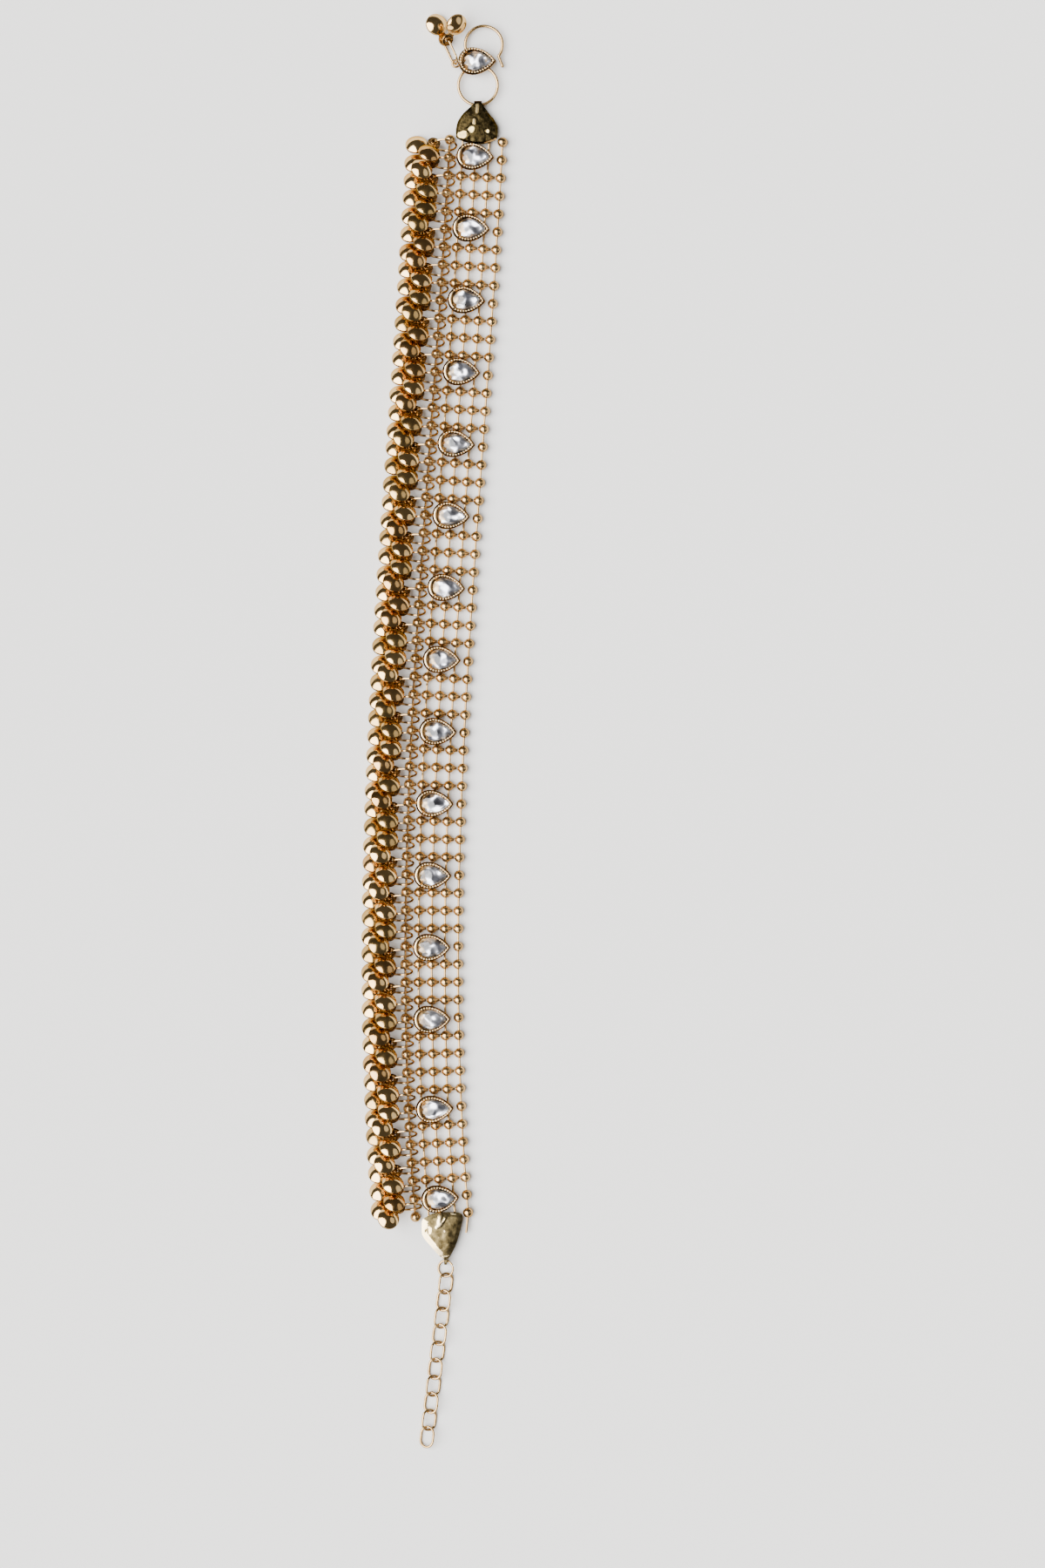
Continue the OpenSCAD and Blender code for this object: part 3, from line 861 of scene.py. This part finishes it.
def add_beads(shape, beaded_end):
    """Beads round the bezel. At the round end a smooth strip stands in for them, unless
    beaded_end is set."""
    spots = evenly(pear(BEAD_LINE_STEPS, *BEAD_LINE), BEAD_COUNT)
    bead = ball(BEAD_R, BEAD_SIDES, BEAD_LEVELS)
    for spot in spots:
        if beaded_end or spot[0] > BEADS_FROM:
            shape.add(bead, move(*spot), look=1)
    if not beaded_end:
        strip = [spot for spot in spots if spot[0] < STRIP_TO]
        middle_r = [BEAD_R] * (len(strip) - 2 * len(STRIP_END_R))
        shape.add(tube(strip, STRIP_END_R + middle_r + STRIP_END_R[::-1]), look=1)


def collet(foot, beaded_end=False):
    points, faces = loft(collet_rings(foot))
    groove = range(GROOVE_FROM * COLLET_SIDES, GROOVE_TO * COLLET_SIDES)
    # the groove's walls get the third material, painted shade
    looks = [2 if k in groove else 0 for k in range(len(faces))]
    shape = Shape().add((points, faces, looks))
    add_beads(shape, beaded_end)
    tab = [(TAB_FROM, 0, FLANGE_Z), (TAB_TO, 0, FLANGE_Z)]
    shape.add(tube(tab, TAB_R, TAB_SIDES), look=1)
    return shape.part()


def cut_stone():
    """Pear stone: two tiers of crown facets under a slightly domed table, on a foiled back."""
    sides = STONE_SIDES
    rings = [pear(sides, z, share * STONE_L, share * STONE_W, shift, phase)
             for z, share, shift, phase in STONE_LEVELS]
    points = [p for ring in rings for p in ring] + [TABLE_TOP]
    back, low, edge, crown, table, domed, top = [level * sides for level in range(7)]

    # Facets left of the limit are painted with the collet's metal: a painted reflection
    def has_painted_reflection(level, k, n, limit):
        return int(points[level + k][0] < limit and points[level + n][0] < limit)

    faces = [tuple(range(sides - 1, -1, -1))]
    looks = [0]
    for k in range(sides):
        n = (k + 1) % sides
        for a, b in ((back, low), (low, edge), (table, domed)):
            faces.append((a + k, a + n, b + n, b + k))
        # the crown's points lie between the edge's and the table's, so its facets are triangles
        faces.append((edge + k, edge + n, crown + n))
        faces.append((crown + k, edge + k, crown + n))
        faces.append((crown + k, crown + n, table + k))
        faces.append((table + k, crown + n, table + n))
        faces.append((domed + k, domed + n, top))
        looks += [0, 0, 0]
        looks += [has_painted_reflection(edge, k, n, REFLECTION_EDGE_LIMIT)] * 2
        looks += [has_painted_reflection(crown, k, n, REFLECTION_CROWN_LIMIT)] * 2
        looks += [0]
    return points, faces, looks


def make_settings(one_stone):
    one_collet = collet(BAND_FOOT)
    for k, row in enumerate(STONE_ROWS, 1):
        x, y = band_spot(row)
        off_row = SETTING_DRIFT * math.cos(math.pi * row / LAST_ROW)
        place = move(x, y + off_row, SETTING_Z) @ turn(z=-band_turn(row))
        piece(f"collet_{k:02d}", Shape().add(one_collet, place), (collet_gold, bead_painted_highlight, groove_painted_shade),
              f"setting_{k:02d}")
        piece(f"cut_stone_{k:02d}", Shape().add(one_stone, place), (foiled_stone, painted_reflection_facets),
              f"stone_{k:02d}", FACET_SHARP)


# Bells
def dome_height(r, rim_r, rise):
    """Height of a dome over its rim, between a round cap and a pointed one."""
    cap_r = (BELL_R ** 2 + BELL_DOME_H ** 2) / (2 * BELL_DOME_H)
    cap = math.sqrt(cap_r ** 2 - (r * BELL_R / rim_r) ** 2) - cap_r + BELL_DOME_H
    point = BELL_DOME_H * (1 - (r / rim_r) ** POINT_POWER)
    return rise / BELL_DOME_H * ((1 - POINTED) * cap + POINTED * point)


def bell_half():
    """One stamping: a dome of sheet metal with a rolled lip, above the slit."""
    lip = BELL_SLIT + LIP_H
    rim_r = DOME_RIM * BELL_R
    hollow_r = HOLLOW_RIM * BELL_R
    outer = [rim_r * (k / DOME_STEPS) ** DOME_STEP_POWER for k in range(DOME_STEPS + 1)]
    inner = [hollow_r * k / HOLLOW_STEPS for k in range(HOLLOW_STEPS, -1, -1)]
    profile = [(r, lip + dome_height(r, rim_r, BELL_DOME_H - LIP_H)) for r in outer]
    profile += [(BELL_R, lip - LIP_BEVEL), (BELL_R, BELL_SLIT)]
    profile += [(r, BELL_SLIT + dome_height(r, hollow_r, BELL_DOME_H - BELL_WALL)) for r in inner]
    return lathe(profile, BELL_SIDES)


def bell_eye():
    """Eye plate with a collar round its hole."""
    top = COLLAR_H / 2
    collar_r = EYE_HOLE_R + COLLAR_WALL
    upper = [(EYE_HOLE_R + HOLE_BEVEL, top), (collar_r - EYE_BEVEL, top), (collar_r, top - EYE_BEVEL),
             (collar_r, BELL_WALL), (EYE_R - EYE_BEVEL, BELL_WALL), (EYE_R, BELL_WALL - HOLE_BEVEL)]
    lower = [(r, -z) for r, z in upper[::-1]]
    hole = [(EYE_HOLE_R, -top + HOLE_BEVEL), (EYE_HOLE_R, top - HOLE_BEVEL)]
    return lathe(upper + lower + hole, EYE_SIDES, closed=True)


def bell_neck():
    return loft([[(x, -w, -t), (x, w, -t), (x, w, t), (x, -w, t)] for x, w, t in NECK])


def one_bell():
    """Two stampings back to back, with their neck and eye. The eye is at the origin."""
    half = bell_half()
    shape = Shape()
    shape.add(half, move(BELL_REACH, 0))
    shape.add(half, move(BELL_REACH, 0) @ turn(x=180))
    shape.add(bell_eye(), look=1)
    shape.add(bell_neck(), look=1)
    return shape.part()


def fringe_place(k, pose, unrest):
    """Where bell k of a layer hangs on its ring, with small turns of its own."""
    place, yaw, lift, roll = pose
    tip = turn(roll + wobble(k, unrest, ROLL_WOBBLE), lift + wobble(k, unrest, LIFT_WOBBLE),
               yaw + wobble(k, unrest, TURN_WOBBLE))
    return at_gap(k) @ move(*on_ring(place)) @ tip @ turn(z=180)


def make_bells(bell):
    """The fringe of bells. Some are browner or redder than the rest."""
    tones = random.Random(TONE_SEED)
    points, faces, looks = bell
    half_count = LAST_ROW // 2
    for layer, poses, unrest, worn in FRINGE:
        for half in (1, 2):
            shape = Shape()
            for k in range((half - 1) * half_count, half * half_count):
                pose = poses[POSE_ORDER[k % len(POSE_ORDER)]]
                tone = tones.choice(BELL_TONES) if tones.random() < worn else 0
                toned = (points, faces, [look or tone for look in looks])
                shape.add(toned, fringe_place(k, pose, unrest))
            piece(f"bell_fringe_{layer}_{half}", shape, (bell_gold, wire_gold, bell_brass, bell_copper),
                  f"bells_{layer}_{half}", BELL_SHARP)


def make_bell_rings():
    shape = Shape()
    for k in range(LAST_ROW):
        place = at_gap(k) @ move(*RING_MIDDLE) @ turn(x=90 - RING_LEAN)
        joint = random.uniform(JOINT_FROM, JOINT_TO)
        shape.add(open_ring(RING_R, joint, JUMP_RING_TURN, JUMP_RING_STEPS, JUMP_RING_SIDES), place)
    piece("jump_rings", shape, (link_gold,), "bell_rings")


# Hook
def hook_end():
    """The hook's open ring, and its end bent out to the tip."""
    ring = arc(OPEN_RING_SPOT, OPEN_RING_R, OPEN_RING_FROM, OPEN_RING_TURN, OPEN_RING_STEPS)
    start, tip = np.array(ring[0]), np.array(HOOK_TIP)
    bent = [tuple(start + (tip - start) * share) for share, _ in BENT_END]
    radii = [r for _, r in BENT_END] + [HOOK_WIRE_R] * len(ring)
    return tube(bent + ring, radii, HOOK_SIDES)


def make_hook():
    """The hook with its setting, side loop and ball of solder."""
    closed_ring = wire_ring(CLOSED_RING_SPOT, CLOSED_RING_R, HOOK_WIRE_R, CLOSED_RING_STEPS, HOOK_SIDES)
    side_loop = wire_ring(SIDE_LOOP_SPOT, SIDE_LOOP_R, RING_WIRE_R, SIDE_LOOP_STEPS, WIRE_SIDES)
    solder_ball = ball(SOLDER_BALL_R, WIRE_SIDES, SOLDER_BALL_LEVELS)
    shape = Shape()
    shape.add(collet(HOOK_FOOT, beaded_end=True), move(*HOOK_SETTING_SPOT))
    shape.add(closed_ring, look=3)
    shape.add(hook_end(), look=3)
    shape.add(side_loop, look=3)
    # the ball of solder gets the beads' painted highlight
    shape.add(solder_ball, move(*np.add(SIDE_LOOP_SPOT, SOLDER_BALL_SHIFT)), look=1)
    piece("s_hook", shape, (collet_gold, bead_painted_highlight, groove_painted_shade, link_gold),
          "clasp_hook")


def make_hook_stone(one_stone):
    shape = Shape().add(one_stone, move(*HOOK_SETTING_SPOT))
    piece("cut_stone_hook", shape, (foiled_stone, painted_reflection_facets),
          "clasp_stone", FACET_SHARP)


def at_bell_ring():
    """Frame of the long ring beside the hook: origin at its middle, +Y towards its bells."""
    spot = np.add(SIDE_LOOP_SPOT, BELL_RING_SHIFT)
    aim = turn(z=BELL_RING_AIM) @ turn(y=BELL_RING_ROLL)
    return move(*spot) @ aim @ move(0, BELL_RING_L / 2 - RING_WIRE_R)


def make_long_ring():
    ring = oval_ring(BELL_RING_L, BELL_RING_W, 2 * RING_WIRE_R)
    shape = Shape().add(ring, at_bell_ring())
    piece("long_jump_ring", shape, (link_gold,), "clasp_bell_ring")


def make_hook_bells(bell):
    """The two bells on the long ring's far bend."""
    bend_r = BELL_RING_W / 2 - RING_WIRE_R
    far = (BELL_RING_L - BELL_RING_W) / 2
    level = turn(y=-BELL_RING_ROLL) @ turn(z=-BELL_RING_AIM)
    shape = Shape()
    for place, yaw, lift, roll in CLASP_POSES:
        a = math.radians(place)
        on_bend = move(-bend_r * math.sin(a), far + bend_r * math.cos(a))
        shape.add(bell, at_bell_ring() @ on_bend @ level @ turn(roll, -lift, yaw))
    piece("hook_bells", shape, (bell_gold, wire_gold), "clasp_bells", BELL_SHARP)


# End plates
def rounded(outline):
    """Closed outline, anticlockwise, with its corners cut round."""
    ring = [np.array(p, float) for p in outline]
    for _ in range(CORNER_CUTS):
        sides = zip(ring, ring[1:] + ring[:1])
        ring = [p for a, b in sides for p in (a + CORNER_CUT * (b - a), b - CORNER_CUT * (b - a))]
    if sum(a[0] * b[1] - b[0] * a[1] for a, b in zip(ring, ring[1:] + ring[:1])) < 0:
        ring = ring[::-1]
    return evenly([(x, y, 0) for x, y in ring], OUTLINE_POINTS)


def on_flat(x, y, flat):
    """1 inside a flat, falling to 0 at its edge."""
    off = math.hypot((x - flat.x) / flat.half_w, (y - flat.y) / flat.half_l)
    return min(1, max(0, (1 - off) / FLAT_EDGE))


def on_ridge(x, y, ridge):
    """1 on a ridge's line, falling to 0 beside it."""
    a, b, p = np.array((ridge.x0, ridge.y0)), np.array((ridge.x1, ridge.y1)), np.array((x, y))
    along = min(1, max(0, float(np.dot(p - a, b - a) / np.dot(b - a, b - a))))
    return math.exp(-(np.linalg.norm(p - a - along * (b - a)) / ridge.width) ** 2)


@dataclass
class Lid:
    """Folded sheet lid: a bevel round its edge, a low crown, flattened spots, ridges and dents.

    middle is where the sheet's levels run in to, bevel how much of that way the fold takes, lip
    and rise the heights of its edge and its crown, and neck_l and neck_z the reach and height of
    the stretch that dips to the loop. The field after ridges is (x, y, least lean) of the side
    that is painted pale, a painted highlight where the light falls."""

    outline: tuple
    middle: tuple
    bevel: float
    lip: float
    rise: float
    neck_l: float
    neck_z: float
    flats: tuple
    ridges: tuple
    lit_side: tuple
    seed: int

    def __post_init__(self):
        rng = random.Random(self.seed)
        self.dents = []
        for _ in range(DENT_COUNT):
            x = rng.uniform(-DENT_REACH, DENT_REACH)
            y = self.middle[1] + rng.uniform(-DENT_REACH, DENT_REACH)
            self.dents.append((x, y, rng.uniform(*DENT_SIZE), rng.uniform(*DENT_DEPTH)))

    def crown(self, y, t):
        """Height of the plain lid, t of the way from its edge to its middle."""
        fold = (FOLD_H - self.lip) * min(1, t / self.bevel)
        swell = self.rise * (1 - (1 - min(1, max(0, t - self.bevel))) ** 2)
        z = LID_Z + self.lip + fold + swell
        if abs(y) < self.neck_l:
            z += (self.neck_z - z) * (1 - abs(y) / self.neck_l) ** NECK_POWER
        return z

    def height(self, x, y, t):
        """Height with dents, flats and ridges, which all fade out towards the edge."""
        z = self.crown(y, t)
        for dent_x, dent_y, size, depth in self.dents:
            off = (x - dent_x) ** 2 + (y - dent_y) ** 2
            z += depth * math.exp(-off / size ** 2) * min(1, DENT_GROWTH * t)
        for flat in self.flats:
            level = LID_Z + FLAT_H + flat.slope_x * (x - flat.x) + flat.slope_y * (y - flat.y)
            z += on_flat(x, y, flat) * (level - z) * min(1, FLAT_GROWTH * t)
        for ridge in self.ridges:
            z += ridge.height * on_ridge(x, y, ridge) * min(1, RIDGE_GROWTH * t)
        return min(z, LID_TOP)

    def top_point(self, x, y, t):
        return x, y, self.height(x, y, t)

    def under_point(self, x, y, t):
        share, rest = UNDERSIDE_SHARE, 1 - UNDERSIDE_SHARE
        return (share * x + rest * self.middle[0], share * y + rest * self.middle[1],
                self.height(x, y, t) - SHEET)

    def look(self, a, b, c):
        """Flats have the fourth material, faces that lean towards the light the second and ridges their
        own: all painted highlights.
        """
        normal = np.cross(b - a, c - a)
        x, y = a[:2]
        if normal[2] <= 0:
            return 0
        if any(on_flat(x, y, flat) > FLAT_LOOK_FROM for flat in self.flats):
            return 3
        # Faces that lean towards the light get a painted highlight
        lit_x, lit_y, least = self.lit_side
        if (normal[0] * lit_x + normal[1] * lit_y) / np.linalg.norm(normal) > least:
            return 1
        looks = [ridge.look for ridge in self.ridges if on_ridge(x, y, ridge) > RIDGE_LOOK_FROM]
        return max(looks, default=0)

    def part(self):
        mid_x, mid_y = self.middle
        edge = rounded(self.outline)
        rings = [[(x + t * (mid_x - x), y + t * (mid_y - y), t) for x, y, _ in edge] for t in LID_LEVELS]
        outside = [[self.top_point(*p) for p in ring] for ring in rings]
        under = [[self.under_point(*p) for p in ring] for ring in rings]
        points, faces = loft(under[::-1] + outside)
        spots = np.array(points)
        return points, faces, [self.look(*spots[list(face[:3])]) for face in faces]


def top_lid():
    """Lid at the hook, painted dark as a painted dark reflection, with three flats, two tan ridges and a
    pale one, all painted highlights.
    """
    return Lid(
        outline=TOP_OUTLINE, middle=(-0.2, -4.6), bevel=0.11, lip=0.08, rise=0.16,
        neck_l=2.4, neck_z=1.95,
        flats=(
            Flat(-3.2, -6.3, 1.35, 0.95, 0.2, -0.12),
            Flat(-1.5, -5.2, 0.85, 0.8, 0.2, -0.1),
            Flat(1.95, -5.6, 0.55, 0.45, 0.2, -0.1)),
        ridges=(
            Ridge(0.0, 0.0, -0.15, -1.5, 0.4, 0.05, 2),
            Ridge(-0.7, -3.2, -0.8, -3.8, 0.45, 0.05, 2),
            Ridge(1.4, -7.95, 3.7, -7.2, 0.15, 0.12, 1)),
        lit_side=(-0.8, 0.5, 0.95), seed=TOP_DENTS_SEED)


def bottom_lid():
    """Brown lid at the chain, with its folds and its left side painted pale as painted highlights."""
    return Lid(
        outline=BOTTOM_OUTLINE, middle=(-0.2, 6.2), bevel=0.24, lip=0.36, rise=0.2,
        neck_l=2.6, neck_z=1.5,
        flats=(),
        ridges=(
            Ridge(-1.0, 9.8, -1.3, 7.4, 0.4, 0.16, 1),
            Ridge(-1.3, 7.4, -1.8, 7.0, 0.25, 0.14, 1),
            Ridge(0.0, 8.9, -0.9, 7.6, 0.2, 0.14, 1),
            Ridge(1.2, 9.9, 2.2, 9.8, 0.12, 0.1, 1),
            Ridge(-0.6, 0.75, 0.6, 0.95, 0.2, 0.1, 1)),
        lit_side=(-0.9, -0.2, 0.14), seed=BOTTOM_DENTS_SEED)


def plate_loop(length):
    """Rolled loop, turned about Z."""
    outer_r = LOOP_BORE_R + LID_WALL
    half = length / 2
    return lathe([(outer_r, half), (outer_r, -half), (LOOP_BORE_R, -half), (LOOP_BORE_R, half)],
                 LOOP_SIDES, closed=True)


def make_plate(name, lid, spot, loop_l, loop_z, body):
    shape = Shape().add(lid.part(), move(*spot))
    shape.add(plate_loop(loop_l), move(*spot, loop_z) @ turn(y=90))
    piece(f"brass_{name}", shape, (body, side_highlight_brass, ridge_highlight_brass, flat_highlight_brass),
          name, PLATE_SHARP)


# Extension chain and its ring
def make_chain_ring():
    place = move(*BOTTOM_PLATE_SPOT, CHAIN_RING_Z) @ turn(y=CHAIN_RING_ROLL) @ move(0, -CHAIN_RING_R)
    ring = open_ring(CHAIN_RING_R, CHAIN_RING_JOINT, CHAIN_RING_TURN, CHAIN_RING_STEPS, WIRE_SIDES)
    piece("lower_jump_ring", Shape().add(ring, place), (link_gold,), "chain_ring")


def make_chain():
    """Curb links, each rolled a little to the side opposite to the one before it."""
    chain_z = (LINK_W - CHAIN_WIRE_D) / 2 * math.sin(math.radians(LINK_ROLL)) + CHAIN_WIRE_D / 2
    ring_end_y = BOTTOM_PLATE_SPOT[1] - 2 * CHAIN_RING_R + RING_WIRE_R + CHAIN_SLACK
    first_y = ring_end_y - (LINK_L - 2 * CHAIN_WIRE_D) / 2
    line = move(BOTTOM_PLATE_SPOT[0], first_y, chain_z) @ turn(z=CHAIN_AIM)
    link = oval_ring(LINK_L, LINK_W, CHAIN_WIRE_D)
    shape = Shape()
    for k in range(LINK_COUNT):
        roll = LINK_ROLL if k % 2 == 0 else -LINK_ROLL
        shape.add(link, line @ move(0, -k * LINK_PITCH) @ turn(y=roll))
    piece("curb_links", shape, (link_gold,), "extension_chain")


# Floor, light and camera
def make_floor():
    bpy.ops.mesh.primitive_plane_add(size=FLOOR_SIZE, location=(0, 0, FLOOR_Z))
    floor = bpy.context.object
    floor.name = "floor"
    floor.data.materials.append(floor_material())


def make_world():
    world = bpy.data.worlds.new("studio")
    world.use_nodes = True
    background = world.node_tree.nodes["Background"]
    feed_all(world.node_tree, background, {"Color": WORLD_COLOUR, "Strength": WORLD_STRENGTH})
    bpy.context.scene.world = world


def make_light(name, kind, spot, size, power):
    """A soft light that shines on the middle of the part."""
    light = bpy.data.lights.new(name, kind)
    light.energy = power
    if kind == "SUN":
        light.angle = math.radians(size)
    else:
        light.shape = "DISK"
        light.size = size
    made = bpy.data.objects.new(name, light)
    made.location = spot
    made.rotation_euler = (-made.location).to_track_quat("-Z", "Y").to_euler()
    bpy.context.scene.collection.objects.link(made)


def make_camera():
    """Camera straight above the picture's middle, at the height that gives the picture's size."""
    camera = bpy.data.cameras.new("camera")
    camera.lens = CAMERA_LENS
    camera.sensor_width = CAMERA_SENSOR
    camera.sensor_fit = "AUTO"
    camera.clip_start = CAMERA_NEAR
    camera.clip_end = CAMERA_FAR
    made = bpy.data.objects.new("camera", camera)
    x, y, z = PICTURE_MIDDLE
    distance = PICTURE_H * CAMERA_LENS / CAMERA_SENSOR
    made.location = (x * MM, y * MM, (z + distance) * MM)
    bpy.context.scene.collection.objects.link(made)
    bpy.context.scene.camera = made


random.seed(SCATTER_SEED)
make_floor()
make_world()
for light_row in LIGHTS:
    make_light(*light_row)
make_camera()
for strand_number in range(1, STRANDS + 1):
    make_strand(strand_number)
stone_part = cut_stone()
bell_part = one_bell()
make_settings(stone_part)
make_bells(bell_part)
make_bell_rings()
make_hook()
make_hook_stone(stone_part)
make_long_ring()
make_hook_bells(bell_part)
make_plate("top_plate", top_lid(), TOP_PLATE_SPOT, TOP_LOOP_L, HOOK_Z, dark_brass)
make_plate("bottom_plate", bottom_lid(), BOTTOM_PLATE_SPOT, BOTTOM_LOOP_L, CHAIN_RING_Z, plate_brass)
make_chain_ring()
make_chain()
